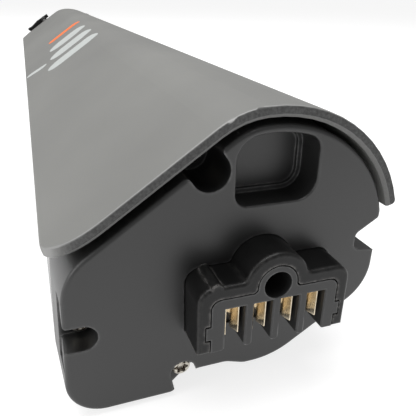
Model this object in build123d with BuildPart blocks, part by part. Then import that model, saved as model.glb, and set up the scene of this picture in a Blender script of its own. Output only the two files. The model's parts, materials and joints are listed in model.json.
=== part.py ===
from build123d import *
import os
from math import asin, atan, cos, degrees, radians, sin, sqrt

os.makedirs("parts", exist_ok=True)

# Long battery pack for a bicycle frame. X runs across, Z up to the crest of the cover,
# Y from the connector end (front) to the release-lever end (rear).
# The origin is on the connector's guide bore, in the plane of the front cap's face.

# ---------------------------------------------------------------- overall sizes
PACK_LENGTH = 580.0        # front cap face to rear cap face
FRONT_CAP_DEPTH = 20.0
REAR_CAP_DEPTH = 36.0
COVER_FRONT = -0.5         # where the cover starts, just ahead of the face
COVER_LENGTH = 556.0
GASKET = 0.8
CASE_GROW = 1.3            # the case stands out this far past the cap's face outline
CASE_WALL = 2.2
CAP_WALL = 3.5
CAP_ROUND = 1.2            # rounding of the caps' outer edges
FIT = 0.15                 # clearance of pieces that slip into each other

# ---------------------------------------------------------------- section of the pack
CROWN_X = 2.0
CROWN_Z = 2.0
FLANK_ANGLE = 35.0
CROWN_R = 35.0             # crown of the caps and case
FLANK_DIST = 32.3          # from the crown's centre to the flank
CROWN_BLEND = 17.0
RIGHT_X = 36.0
RIGHT_TOP_Z = 10.5
RIGHT_LOW_Z = -13.5         # where the right side turns under
BELLY_Z = -32.5
BELLY_STEP_Z = -30.6        # underside between the belly and the foot
FOOT_Z = -36.9
LEFT_X = -52.2
HEEL_X = -50.2              # where the left side meets the flank
FOOT_STEP_X = -17.5
RAIL_X = 0.5
RAIL_WIDTH = 11.0

# ---------------------------------------------------------------- cover
COVER_R = 39.6
COVER_FLANK = 37.5
COVER_BLEND = 25.0
COVER_THICK = 2.9
COVER_LEFT_X = -54.0
COVER_RIGHT_Z = 12.4
COVER_CORNER = 14.0
COVER_NOSE = 0.7
COVER_BEVEL = 0.9

# ---------------------------------------------------------------- cells and their holders
CELL_R = 10.6
CELL_LENGTH = 70.0
CELL_BORE = 10.8
MODULE_PITCH = 72.0
MODULE_START = 96.0
TRAY_DEPTH = 8.0
STRIP = 0.3
CELL_CENTRES = [
    (-38.6, -18.2), (-16.6, -18.2), (5.4, -18.2),
    (-27.6, 0.9), (-5.6, 0.9), (16.4, 0.9), (5.4, 20.0),
]
MODULES = 6
LAST_MODULE_CELLS = 5

# ---------------------------------------------------------------- screws
SCREW_R = 1.5
SCREW_HEAD_R = 2.8
SCREW_HEAD = 2.0
SCREW_LENGTH = 12.0
BOSS_R = SCREW_R + 3.1
BOSS_DEPTH = 14.0
# where each cap screw stands, and how deep its seat lies behind the face
SCREW_A = (-46.3, -12.6, 8.3)
SCREW_B = (-21.0, -30.3, 4.0)
SCREW_C = (32.4, 2.2, 11.0)
SCREW_D = (-14.3, 26.8, 16.5)
CAP_SCREWS = [SCREW_A, SCREW_B, SCREW_C, SCREW_D]
NOTCH_R = SCREW_HEAD_R + 0.8
NOTCH_D_R = SCREW_HEAD_R + 2.1
MOUTH_REACH = 11.0         # how far a recess's mouth is cut, from its screw

# ---------------------------------------------------------------- finger pocket
POCKET_DEPTH = 10.0
POCKET_LEDGE = 8.8         # depth of the step round the pocket's floor
LEDGE_WIDTH = 1.3
POCKET_EDGE = 0.5
POCKET_LEFT = -8.0
POCKET_RIGHT = 14.2
POCKET_FLOOR_Z = 17.0
POCKET_TOP_R = 33.0

# ---------------------------------------------------------------- connector
PITCH = 7.4
SLOTS = 4
SLOT_WIDTH = 5.2
SLOT_CENTRE_X = 0.2
SLOT_TOP_Z = -4.1
FINGER_Z = -16.1
GUIDE_R = 3.7
GUIDE_DEPTH = 12.2
CONNECTOR_OUT = 10.2
HOOD_HALF = SLOTS * PITCH / 2 + 5.8
HOOD_TOP_Z = 2.1
HOOD_BOTTOM_Z = -16.6
HUMP_R = 8.7
HOOD_WALL = 3.2
HOOD_GAP = 0.3
HOOD_CORNER = 4.2
HOOD_ROUND = 1.0           # rounding of the hood's front edges
HOOD_FLANGE = 2.4
FLANGE_LIP = 2.0           # how far the flange stands out behind the cap's wall
FLANGE_EAR_R = SCREW_HEAD_R + 1.2
KEY_X = 4.8 - HOOD_HALF    # round rib on the hood that keys the plug
KEY_R = 1.5
INSERT_BACK = 8.0
SLOT_DEPTH = 11.2
FINGER_ROUND = 0.9         # rounding of the insert's finger ends
FINGER_EDGE = 0.35         # chamfer of the fingers' front edges
LATCH_Z = -10.6
LATCH_HEIGHT = 4.6
LATCH_DEPTH = 1.3
LEAF = 0.45
SEAL = 1.0                 # thickness of the flat seal between the hood and the cap
SEAL_WIDTH = 1.2
FLANGE_START = CAP_WALL + SEAL
CONNECTOR_SCREWS = [(-HOOD_HALF - 2.9, -9.0), (HOOD_HALF + 2.9, -9.0)]
CONNECTOR_BITE = 2.4       # how far those screws reach into the cap's wall

# ---------------------------------------------------------------- release lever
PIVOT_U = -8.0
PIVOT_V = 37.9
PIN_R = 1.25
PIN_FIT = 0.05
BARREL_R = PIN_R + 1.85
LEVER_SETBACK = 17.0       # from the rear cap's front edge to the lever
LEVER_WIDTH = 11.0
LEVER_FREE_U = -31.0
LEVER_TOP_V = 41.4
LEVER_HEEL = 6.6           # block behind the pivot that stops the open lever
EAR = 2.4
EAR_GAP = 0.4
SPRING_ROOM = 3.2          # between the lever and its rear ear, for the torsion spring

# ---------------------------------------------------------------- power button
BUTTON_X = -2.0
BUTTON_Z = -6.0
BUTTON_R = 6.4
BUTTON_TRAVEL = 1.0
BUTTON_PROUD = 0.4
STEM_R = 2.0
STEM_FIT = 0.05

CASE_START = FRONT_CAP_DEPTH + GASKET
CASE_END = PACK_LENGTH - REAR_CAP_DEPTH - GASKET
REAR_CAP_START = PACK_LENGTH - REAR_CAP_DEPTH
LEVER_START = REAR_CAP_START + LEVER_SETBACK
LEVER_END = LEVER_START + LEVER_WIDTH
COVER_END = COVER_FRONT + COVER_LENGTH
FLANK_COS = cos(radians(FLANK_ANGLE))
FLANK_SIN = sin(radians(FLANK_ANGLE))


def section(y):
    """Plane across the pack at y, seen from the front: local x is X, local y is Z."""
    return Plane.XZ.offset(-y)


def flank_plane(y):
    """Plane across the pack at y with local x up along the flank and local y out of it."""
    return Plane(origin=(CROWN_X, y, CROWN_Z), x_dir=(FLANK_COS, 0, FLANK_SIN), z_dir=(0, -1, 0))


def flank_z(x, dist):
    """Height of a line parallel to the flank, dist from the crown's centre."""
    return CROWN_Z + (dist + FLANK_SIN * (x - CROWN_X)) / FLANK_COS


def crown_point(radius, angle):
    return (CROWN_X + radius * cos(radians(angle)), CROWN_Z + radius * sin(radians(angle)))


def flank_meets_crown(radius, dist):
    along = sqrt(radius**2 - dist**2)
    return (
        CROWN_X - dist * FLANK_SIN + along * FLANK_COS,
        CROWN_Z + dist * FLANK_COS + along * FLANK_SIN,
    )


def nearest_vertex(sketch, point):
    return sketch.vertices().sort_by_distance((point[0], point[1], 0))[0]


def pack_outline(grow=0.0):
    """Smooth outline of the caps' faces, or that outline moved outwards by grow."""
    crest = flank_meets_crown(CROWN_R, FLANK_DIST)
    shoulder = crown_point(CROWN_R, degrees(asin((RIGHT_TOP_Z - CROWN_Z) / CROWN_R)))
    with BuildSketch(mode=Mode.PRIVATE) as face:
        with BuildLine():
            FilletPolyline(
                shoulder,
                (RIGHT_X, RIGHT_LOW_Z),
                (6.1, BELLY_Z),
                (-3.0, BELLY_Z),
                (-8.4, BELLY_STEP_Z),
                (FOOT_STEP_X, BELLY_STEP_Z),
                (FOOT_STEP_X - 6.5, FOOT_Z),
                (LEFT_X, FOOT_Z),
                (HEEL_X, flank_z(HEEL_X, FLANK_DIST)),
                crest,
                radius=(14, 22, 6, 6, 3, 2.5, 10, 15),
            )
            ThreePointArc(crest, crown_point(CROWN_R, 65), shoulder)
        make_face()
        fillet(nearest_vertex(face, crest), CROWN_BLEND)
        fillet(nearest_vertex(face, shoulder), 1.6)
        if grow:
            offset(amount=grow, kind=Kind.ARC)
    add(face.sketch)


def discs(places, radius, mode=Mode.ADD):
    with Locations(*[(place[0], place[1]) for place in places]):
        Circle(radius, mode=mode)


def cap_notches():
    """The front cap's screw recesses: how each is drawn, its screw, its mouth's rounding."""
    def notch_a():
        discs([SCREW_A], NOTCH_R)
        with Locations((SCREW_A[0] - 8, SCREW_A[1])):
            Rectangle(16, 2 * NOTCH_R)

    def notch_b():
        discs([SCREW_B], NOTCH_R)
        Polygon(
            (SCREW_B[0] - NOTCH_R, SCREW_B[1]),
            (SCREW_B[0] - NOTCH_R + 1.5, SCREW_B[1] - 8),
            (SCREW_B[0] + NOTCH_R + 5, SCREW_B[1] - 8),
            (SCREW_B[0] + NOTCH_R, SCREW_B[1]),
            align=None,
        )

    def notch_c():
        with BuildSketch(mode=Mode.PRIVATE) as wedge:
            with BuildLine():
                FilletPolyline(
                    (46.0, 15.3), (28.6, 4.5), (28.6, -0.4), (46.0, -3.1), radius=2.2
                )
                Line((46.0, -3.1), (46.0, 15.3))
            make_face()
        add(wedge.sketch)

    def notch_d():
        discs([SCREW_D], NOTCH_D_R)
        with Locations(Location((SCREW_D[0], SCREW_D[1]), FLANK_ANGLE)):
            Rectangle(2 * NOTCH_D_R, 12, align=(Align.CENTER, Align.MIN))

    return [
        (notch_a, SCREW_A, 0.8), (notch_b, SCREW_B, 0.6), (notch_c, SCREW_C, 1.1),
        (notch_d, SCREW_D, 1.2),
    ]


def open_notch(shape, screw, mouth_r):
    """A screw recess that opens through the edge of the face, its mouth corners rounded."""
    place = (screw[0], screw[1])
    with BuildSketch(mode=Mode.PRIVATE) as face:
        pack_outline()
    with BuildSketch(mode=Mode.PRIVATE) as recess:
        shape()
    with BuildSketch(mode=Mode.PRIVATE) as cutter:
        with Locations(place):
            Circle(2 * MOUTH_REACH)
        add(face.sketch, mode=Mode.SUBTRACT)
        add(recess.sketch)
        drawn = face.vertices() + recess.vertices()
        mouth = [
            corner for corner in cutter.vertices()
            if min((corner.center() - point.center()).length for point in drawn) > 0.01
            and (corner.center() - Vector(*place)).length < 1.9 * MOUTH_REACH
        ]
        fillet(mouth, mouth_r)
        with Locations(place):
            Circle(MOUTH_REACH, mode=Mode.INTERSECT)
    add(cutter.sketch)


def pocket_shape():
    top_left = (POCKET_LEFT, CROWN_Z + sqrt(POCKET_TOP_R**2 - (POCKET_LEFT - CROWN_X) ** 2))
    top_right = (POCKET_RIGHT, CROWN_Z + sqrt(POCKET_TOP_R**2 - (POCKET_RIGHT - CROWN_X) ** 2))
    with BuildSketch(mode=Mode.PRIVATE) as pocket:
        with BuildLine():
            Polyline(
                top_left, (POCKET_LEFT, POCKET_FLOOR_Z), (POCKET_RIGHT, POCKET_FLOOR_Z), top_right
            )
            ThreePointArc(top_left, crown_point(POCKET_TOP_R, 85), top_right)
        make_face()
        fillet(nearest_vertex(pocket, (POCKET_LEFT, POCKET_FLOOR_Z)), 3.5)
        fillet(nearest_vertex(pocket, (POCKET_RIGHT, POCKET_FLOOR_Z)), 5.5)
        fillet(nearest_vertex(pocket, top_left), 6.5)
        fillet(nearest_vertex(pocket, top_right), 4.5)
    add(pocket.sketch)


def connector_outline(shrink=0.0):
    """Outline of the connector hood, or that outline moved inwards by shrink."""
    half = HOOD_HALF - shrink
    top = HOOD_TOP_Z - shrink
    radius = HUMP_R - shrink
    with BuildSketch(mode=Mode.PRIVATE) as outline:
        with Locations((0, top)):
            Rectangle(2 * half, top - HOOD_BOTTOM_Z, align=(Align.CENTER, Align.MAX))
        corners = outline.vertices().group_by(Axis.Y)[-1]
        fillet(corners, HOOD_CORNER - shrink / 2)
        Circle(radius)
        foot_x = sqrt(radius**2 - top**2)
        for x in (-foot_x, foot_x):
            fillet(nearest_vertex(outline, (x, top)), 1.2)
    add(outline.sketch)


def slot_x(index):
    return SLOT_CENTRE_X + (index - (SLOTS - 1) / 2) * PITCH


def write(node, name):
    node.part.label = name
    export_step(node.part, f"parts/{name}.step")


# ================================================================ outer cover
def cover_outline():
    crest = flank_meets_crown(COVER_R, COVER_FLANK)
    right_angle = degrees(asin((COVER_RIGHT_Z - CROWN_Z) / COVER_R))
    with BuildSketch(mode=Mode.PRIVATE) as skin:
        with BuildLine() as path:
            Line((COVER_LEFT_X, flank_z(COVER_LEFT_X, COVER_FLANK)), crest)
            ThreePointArc(crest, crown_point(COVER_R, 60), crown_point(COVER_R, right_angle))
            fillet(path.vertices().sort_by_distance((crest[0], crest[1], 0))[0], COVER_BLEND)
            offset(amount=-COVER_THICK, side=Side.RIGHT)
        make_face()
        fillet(skin.vertices().group_by(Axis.X)[-1], 1.3)
        fillet(skin.vertices().group_by(Axis.X)[0], 1.2)
    add(skin.sketch)


def round_corner(x, y, turn):
    """Cutter that rounds one corner of a panel in plan; turn points its quadrant outwards."""
    with BuildPart(mode=Mode.PRIVATE) as cutter:
        with BuildSketch(Plane((x, y, -20)).rotated((0, 0, turn))):
            Rectangle(COVER_CORNER + 2, COVER_CORNER + 2, align=(Align.MIN, Align.MIN))
            Circle(COVER_CORNER, mode=Mode.SUBTRACT)
        extrude(amount=60)
    return cutter.part


def flank_distance(point):
    return FLANK_COS * (point.Z - CROWN_Z) - FLANK_SIN * (point.X - CROWN_X)


def crown_distance(point):
    return sqrt((point.X - CROWN_X) ** 2 + (point.Z - CROWN_Z) ** 2)


def on_outside(edge):
    """True for an edge on the painted side of the cover."""
    middle = edge @ 0.5
    half = COVER_THICK / 2
    if middle.X < -10:
        return flank_distance(middle) > COVER_FLANK - half
    return crown_distance(middle) > COVER_R - half


with BuildPart() as outer_cover:
    with BuildSketch(section(COVER_FRONT)):
        cover_outline()
    extrude(amount=-COVER_LENGTH)
    corner_x = outer_cover.part.bounding_box().min.X + COVER_CORNER
    add(round_corner(corner_x, COVER_FRONT + COVER_CORNER, 180), mode=Mode.SUBTRACT)
    add(round_corner(corner_x, COVER_END - COVER_CORNER, 90), mode=Mode.SUBTRACT)
    front_rim = outer_cover.faces().filter_by(Axis.Y).sort_by(Axis.Y)[0]
    chamfer([e for e in front_rim.edges() if e.length > 5 and not on_outside(e)], COVER_BEVEL)
    front_rim = outer_cover.faces().filter_by(Axis.Y).sort_by(Axis.Y)[0]
    fillet([e for e in front_rim.edges() if e.length > 5 and on_outside(e)], COVER_NOSE)
write(outer_cover, "outer_cover")

# ================================================================ foam tapes under the cover
TAPE_GAP = 0.02
TAPE_MARGIN = 10.0
TAPE_LENGTH = COVER_LENGTH - 76
TAPE_FLANK_U = [-24.0, -2.0]
TAPE_WIDTH = 12.0

with BuildPart() as cover_tapes:
    tape_bottom = FLANK_DIST + CASE_GROW + TAPE_GAP
    tape_top = COVER_FLANK - COVER_THICK - TAPE_GAP
    with BuildSketch(flank_plane(CASE_START + TAPE_MARGIN)):
        for u in TAPE_FLANK_U:
            with Locations((u - TAPE_WIDTH / 2, (tape_bottom + tape_top) / 2)):
                Rectangle(TAPE_WIDTH, tape_top - tape_bottom)
    extrude(amount=-TAPE_LENGTH)
    with BuildSketch(section(CASE_START + TAPE_MARGIN)):
        with Locations((CROWN_X, CROWN_Z)):
            Circle(COVER_R - COVER_THICK - TAPE_GAP)
            Circle(CROWN_R + CASE_GROW + TAPE_GAP, mode=Mode.SUBTRACT)
        with BuildLine():
            Polyline(
                (CROWN_X, CROWN_Z), crown_point(60, 28), crown_point(60, 48), (CROWN_X, CROWN_Z)
            )
        make_face(mode=Mode.INTERSECT)
    extrude(amount=-TAPE_LENGTH)
write(cover_tapes, "cover_tapes")

# ================================================================ case
with BuildPart() as case_shell:
    with BuildSketch(section(CASE_START)):
        pack_outline(CASE_GROW)
        with Locations((RAIL_X, FOOT_Z - CASE_GROW)):
            Rectangle(RAIL_WIDTH, 10, align=(Align.CENTER, Align.MIN))
    extrude(amount=-(CASE_END - CASE_START))
    with BuildSketch(section(CASE_START)):
        pack_outline(CASE_GROW - CASE_WALL)
    extrude(amount=-(CASE_END - CASE_START), mode=Mode.SUBTRACT)
    for boss_start in (CASE_START, CASE_END - BOSS_DEPTH):
        with BuildSketch(section(boss_start)):
            discs(CAP_SCREWS, BOSS_R)
            with BuildSketch(mode=Mode.PRIVATE) as inside:
                pack_outline(CASE_GROW - CASE_WALL / 2)
            add(inside.sketch, mode=Mode.INTERSECT)
        extrude(amount=-BOSS_DEPTH)
    for drill_start in (CASE_START, CASE_END - BOSS_DEPTH):
        with BuildSketch(section(drill_start)):
            discs(CAP_SCREWS, SCREW_R)
        extrude(amount=-BOSS_DEPTH, mode=Mode.SUBTRACT)
write(case_shell, "case_shell")

# ================================================================ front cap
SPIGOT_DEPTH = 6.0
SPIGOT_WALL = 1.6
BOSS_CLEAR = 0.6


def cap_spigot(y, depth):
    """Lip of a cap that slips into the case, relieved round the screw bosses."""
    with BuildPart(mode=Mode.PRIVATE) as lip:
        with BuildSketch(section(y)):
            pack_outline(CASE_GROW - CASE_WALL - FIT)
            with BuildSketch(mode=Mode.PRIVATE) as hollow:
                pack_outline(CASE_GROW - CASE_WALL - FIT - SPIGOT_WALL)
            add(hollow.sketch, mode=Mode.SUBTRACT)
            discs(CAP_SCREWS, BOSS_R + BOSS_CLEAR, mode=Mode.SUBTRACT)
        extrude(amount=-depth)
    return lip.part


def cap_cavity(y, depth, keep_notches):
    """Hollow inside a cap between its walls, its screw lobes and its pocket."""
    with BuildPart(mode=Mode.PRIVATE) as hollow:
        with BuildSketch(section(y)):
            pack_outline(-CAP_WALL + CASE_GROW / 2)
            discs(CAP_SCREWS[:3], NOTCH_R + 2.4, mode=Mode.SUBTRACT)
            discs(CAP_SCREWS[3:], NOTCH_D_R + 2.0, mode=Mode.SUBTRACT)
            if keep_notches:
                with Locations((36.0, 2.5)):
                    Rectangle(18, 14, mode=Mode.SUBTRACT)
                with Locations((SCREW_D[0] - 3, SCREW_D[1] + 4)):
                    Rectangle(22, 18, mode=Mode.SUBTRACT)
                with BuildSketch(mode=Mode.PRIVATE) as pocket:
                    pocket_shape()
                    offset(amount=2.0)
                add(pocket.sketch, mode=Mode.SUBTRACT)
        extrude(amount=-depth)
    return hollow.part


with BuildPart() as front_cap:
    with BuildSketch(section(FRONT_CAP_DEPTH)):
        pack_outline(CASE_GROW)
    extrude(amount=FRONT_CAP_DEPTH, taper=degrees(atan(CASE_GROW / FRONT_CAP_DEPTH)))
    fillet(front_cap.faces().filter_by(Axis.Y).sort_by(Axis.Y)[0].edges(), CAP_ROUND)
    for shape, screw, mouth_r in cap_notches():
        with BuildSketch(section(0)):
            open_notch(shape, screw, mouth_r)
        extrude(amount=-screw[2], mode=Mode.SUBTRACT)
    with BuildSketch(section(0)):
        pocket_shape()
    extrude(amount=-POCKET_LEDGE, mode=Mode.SUBTRACT)
    with BuildSketch(section(POCKET_LEDGE)):
        with BuildSketch(mode=Mode.PRIVATE) as floor_recess:
            pocket_shape()
            offset(amount=-LEDGE_WIDTH)
        add(floor_recess.sketch)
    extrude(amount=POCKET_LEDGE - POCKET_DEPTH, mode=Mode.SUBTRACT)
    cap_face = front_cap.faces().filter_by(Axis.Y).sort_by(Axis.Y)[0]
    fillet(cap_face.inner_wires()[0].edges(), POCKET_EDGE)
    add(cap_spigot(FRONT_CAP_DEPTH, SPIGOT_DEPTH))
    add(cap_cavity(CAP_WALL, POCKET_DEPTH - 1.0, True), mode=Mode.SUBTRACT)
    add(cap_cavity(CAP_WALL + POCKET_DEPTH - 1.0, FRONT_CAP_DEPTH, False), mode=Mode.SUBTRACT)
    for x, z, seat in CAP_SCREWS:
        with BuildSketch(section(seat)):
            with Locations((x, z)):
                Circle(SCREW_R + FIT)
        extrude(amount=-(FRONT_CAP_DEPTH + SPIGOT_DEPTH - seat), mode=Mode.SUBTRACT)
    with BuildSketch(section(-1)):
        connector_outline(-FIT)
    extrude(amount=-(CAP_WALL + 2), mode=Mode.SUBTRACT)
    with BuildSketch(section(CAP_WALL)):
        discs(CONNECTOR_SCREWS, SCREW_R)
    extrude(amount=CONNECTOR_BITE, mode=Mode.SUBTRACT)
write(front_cap, "front_cap")


# ================================================================ cap screws
def torx_screw(x, y, z, length, into=-1):
    """Pan-head screw whose head face is at y; into is the sign that drives it towards -Y or +Y."""
    with BuildPart(mode=Mode.PRIVATE) as screw:
        with BuildSketch(Plane((x, y, z), x_dir=(1, 0, 0), z_dir=(0, into, 0))):
            Circle(SCREW_HEAD_R)
        extrude(amount=SCREW_HEAD)
        fillet(screw.faces().sort_by(Axis.Y)[0 if into > 0 else -1].edges(), 0.6)
        with BuildSketch(Plane((x, y, z), x_dir=(1, 0, 0), z_dir=(0, into, 0))):
            RegularPolygon(1.35, 6)
            Circle(1.0)
        extrude(amount=1.2, mode=Mode.SUBTRACT)
        with BuildSketch(Plane((x, y + into * SCREW_HEAD, z), x_dir=(1, 0, 0), z_dir=(0, into, 0))):
            Circle(SCREW_R - 0.01)
        extrude(amount=length)
    return screw.part


with BuildPart() as front_cap_screws:
    for x, z, seat in CAP_SCREWS:
        add(torx_screw(x, seat - SCREW_HEAD, z, FRONT_CAP_DEPTH + SCREW_LENGTH - seat, 1))
write(front_cap_screws, "front_cap_screws")


# ================================================================ gaskets between caps and case
def cap_gasket(y):
    with BuildPart() as ring:
        with BuildSketch(section(y)):
            pack_outline(CASE_GROW - 0.5)
            with BuildSketch(mode=Mode.PRIVATE) as hollow:
                pack_outline(CASE_GROW - CASE_WALL)
            add(hollow.sketch, mode=Mode.SUBTRACT)
            discs(CAP_SCREWS, SCREW_R + FIT, mode=Mode.SUBTRACT)
        extrude(amount=-GASKET)
    return ring


write(cap_gasket(FRONT_CAP_DEPTH), "front_gasket")
write(cap_gasket(CASE_END), "rear_gasket")

# ================================================================ connector

with BuildPart() as connector_hood:
    with BuildSketch(section(-CONNECTOR_OUT)):
        connector_outline()
    extrude(amount=-(CONNECTOR_OUT + FLANGE_START))
    fillet(connector_hood.faces().filter_by(Axis.Y).sort_by(Axis.Y)[0].edges(), HOOD_ROUND)
    with BuildSketch(section(-CONNECTOR_OUT)):
        with Locations((KEY_X, HOOD_TOP_Z - 0.5)):
            Circle(KEY_R)
    extrude(amount=-CONNECTOR_OUT)
    with BuildSketch(section(FLANGE_START)):
        connector_outline(-FLANGE_LIP)
        for place in CONNECTOR_SCREWS:
            with Locations(place):
                Circle(FLANGE_EAR_R)
    extrude(amount=-HOOD_FLANGE)
    with BuildSketch(section(-CONNECTOR_OUT - 1)):
        connector_outline(HOOD_WALL)
        with Locations((0, HOOD_BOTTOM_Z)):
            Rectangle(2 * (HOOD_HALF - HOOD_WALL), 8)
        for side in (-1, 1):
            with Locations((side * (HOOD_HALF - HOOD_WALL), LATCH_Z)):
                Rectangle(2 * LATCH_DEPTH, LATCH_HEIGHT)
    extrude(amount=-(CONNECTOR_OUT + 1), mode=Mode.SUBTRACT)
    with BuildSketch(section(0)):
        connector_outline(HOOD_WALL)
    extrude(amount=-(FLANGE_START + HOOD_FLANGE), mode=Mode.SUBTRACT)
    with BuildSketch(section(FLANGE_START)):
        discs(CONNECTOR_SCREWS, SCREW_R + FIT)
    extrude(amount=-HOOD_FLANGE, mode=Mode.SUBTRACT)
write(connector_hood, "connector_hood")

TAIL_THICK = 0.8
TAIL_HEIGHT = 5.0
TAIL_FIT = 0.1
LEAF_TOP_Z = SLOT_TOP_Z - 1.2
LEAF_BOTTOM_Z = FINGER_Z + 2.6
LEAF_MID_Z = (LEAF_TOP_Z + LEAF_BOTTOM_Z) / 2

with BuildPart() as connector_insert:
    with BuildSketch(section(-CONNECTOR_OUT)):
        with BuildSketch(mode=Mode.PRIVATE) as comb:
            connector_outline(HOOD_WALL + HOOD_GAP)
        add(comb.sketch)
        for side in (-1, 1):
            with Locations((side * (HOOD_HALF - HOOD_WALL - HOOD_GAP), LATCH_Z)):
                Rectangle(2 * LATCH_DEPTH, LATCH_HEIGHT - 1.0)
    extrude(amount=-CONNECTOR_OUT)
    with BuildSketch(section(0)):
        connector_outline(HOOD_WALL + HOOD_GAP)
    extrude(amount=-INSERT_BACK)
    with BuildSketch(section(-CONNECTOR_OUT)):
        Circle(GUIDE_R)
    extrude(amount=-GUIDE_DEPTH, mode=Mode.SUBTRACT)
    with BuildSketch(section(-CONNECTOR_OUT)):
        for index in range(SLOTS):
            with Locations((slot_x(index), SLOT_TOP_Z)):
                Rectangle(SLOT_WIDTH, 20, align=(Align.CENTER, Align.MAX))
    extrude(amount=-SLOT_DEPTH, mode=Mode.SUBTRACT)
    finger_ends = [
        edge for edge in connector_insert.edges().filter_by(Axis.Y)
        if edge.center().Z < HOOD_BOTTOM_Z + 0.1 and abs(edge.center().X) < SLOTS * PITCH / 2
        and edge.center().Y < 0
    ]
    finger_width = PITCH - SLOT_WIDTH
    fillet(finger_ends, min(FINGER_ROUND, 0.42 * finger_width))
    comb_face = connector_insert.faces().filter_by(Axis.Y).sort_by(Axis.Y)[0]
    finger_sides = [
        edge for edge in comb_face.edges().filter_by(Axis.Z)
        if abs(edge.center().X - SLOT_CENTRE_X) < SLOTS * PITCH / 2
    ]
    chamfer(finger_sides, min(FINGER_EDGE, 0.3 * finger_width))
    with BuildSketch(section(SLOT_DEPTH - CONNECTOR_OUT)):
        for index in range(SLOTS):
            with Locations((slot_x(index), LEAF_MID_Z)):
                Rectangle(TAIL_THICK + 2 * TAIL_FIT, TAIL_HEIGHT + 2 * TAIL_FIT)
    extrude(amount=-INSERT_BACK, mode=Mode.SUBTRACT)
write(connector_insert, "connector_insert")

LEAF_FRONT_Y = -7.8
SLOT_BACK_Y = SLOT_DEPTH - CONNECTOR_OUT
NECK_Y = LEAF_FRONT_Y + 2.6
TAIL_END = INSERT_BACK + 5


def fork_contact(x):
    """Two facing spring leaves on a base, with a solder tail behind."""
    with BuildPart() as fork:
        with BuildSketch(Plane.XY.offset(LEAF_BOTTOM_Z)):
            for side in (-1, 1):
                with BuildSketch(mode=Mode.PRIVATE) as leaf:
                    with BuildLine():
                        centre = FilletPolyline(
                            (x + side * 1.75, LEAF_FRONT_Y),
                            (x + side * 0.7, NECK_Y),
                            (x + side * 1.9, SLOT_BACK_Y - 2.6),
                            (x + side * 1.9, SLOT_BACK_Y - LEAF - 0.01),
                            radius=(1.2, 1.5),
                        )
                        offset(centre, amount=LEAF / 2, side=Side.BOTH, mode=Mode.REPLACE)
                    make_face()
                add(leaf.sketch)
            with Locations((x, SLOT_BACK_Y - 0.01 - LEAF / 2)):
                Rectangle(4.25, LEAF)
        extrude(amount=LEAF_TOP_Z - LEAF_BOTTOM_Z)
        with BuildSketch(section(SLOT_BACK_Y - LEAF / 2)):
            with Locations((x, LEAF_MID_Z)):
                Rectangle(TAIL_THICK, TAIL_HEIGHT)
        extrude(amount=-(TAIL_END - SLOT_BACK_Y))
    return fork


for index, name in enumerate(["contact_negative", "contact_data", "contact_wake", "contact_positive"]):
    contact = fork_contact(slot_x(index))
    write(contact, name)

with BuildPart() as connector_gasket:
    with BuildSketch(section(CAP_WALL)):
        connector_outline(-SEAL_WIDTH)
        with BuildSketch(mode=Mode.PRIVATE) as hole:
            connector_outline(-FIT)
        add(hole.sketch, mode=Mode.SUBTRACT)
    extrude(amount=-SEAL)
write(connector_gasket, "connector_gasket")

with BuildPart() as connector_screws:
    for x, z in CONNECTOR_SCREWS:
        length = HOOD_FLANGE + SEAL + CONNECTOR_BITE - 0.1
        add(torx_screw(x, FLANGE_START + HOOD_FLANGE + SCREW_HEAD, z, length, -1))
write(connector_screws, "connector_screws")

# ================================================================ rear cap
BUTTON_WELL = 6.9
BUTTON_FIT = 0.25
WELL_WALL = 2.0
REAR_SEAT = 4.0            # depth of the rear cap's screw seats
HEAD_FIT = 0.5
LUG_ANGLE = 48.0
LUG_START = REAR_CAP_START + 14.5
LUG_LENGTH = 17.0
LUG_WIDTH = 11.0
LUG_TOP_R = 41.2
LUG_SEAT = 1.5
EAR_ENDS = [LEVER_START - EAR_GAP - EAR, LEVER_END + SPRING_ROOM]
PIN_BORE = EAR_ENDS[1] + EAR - EAR_ENDS[0]
BUTTON_WALL = 11.0
RING_IN = BUTTON_R + 0.9
RING_OUT = RING_IN + 1.6
RING_DEPTH = 2.4


def lug_plane(y):
    """Plane across the pack at y whose local y points out of the crown at the lug."""
    turn = radians(LUG_ANGLE)
    return Plane((CROWN_X, y, CROWN_Z), x_dir=(sin(turn), 0, -cos(turn)), z_dir=(0, -1, 0))


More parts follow.
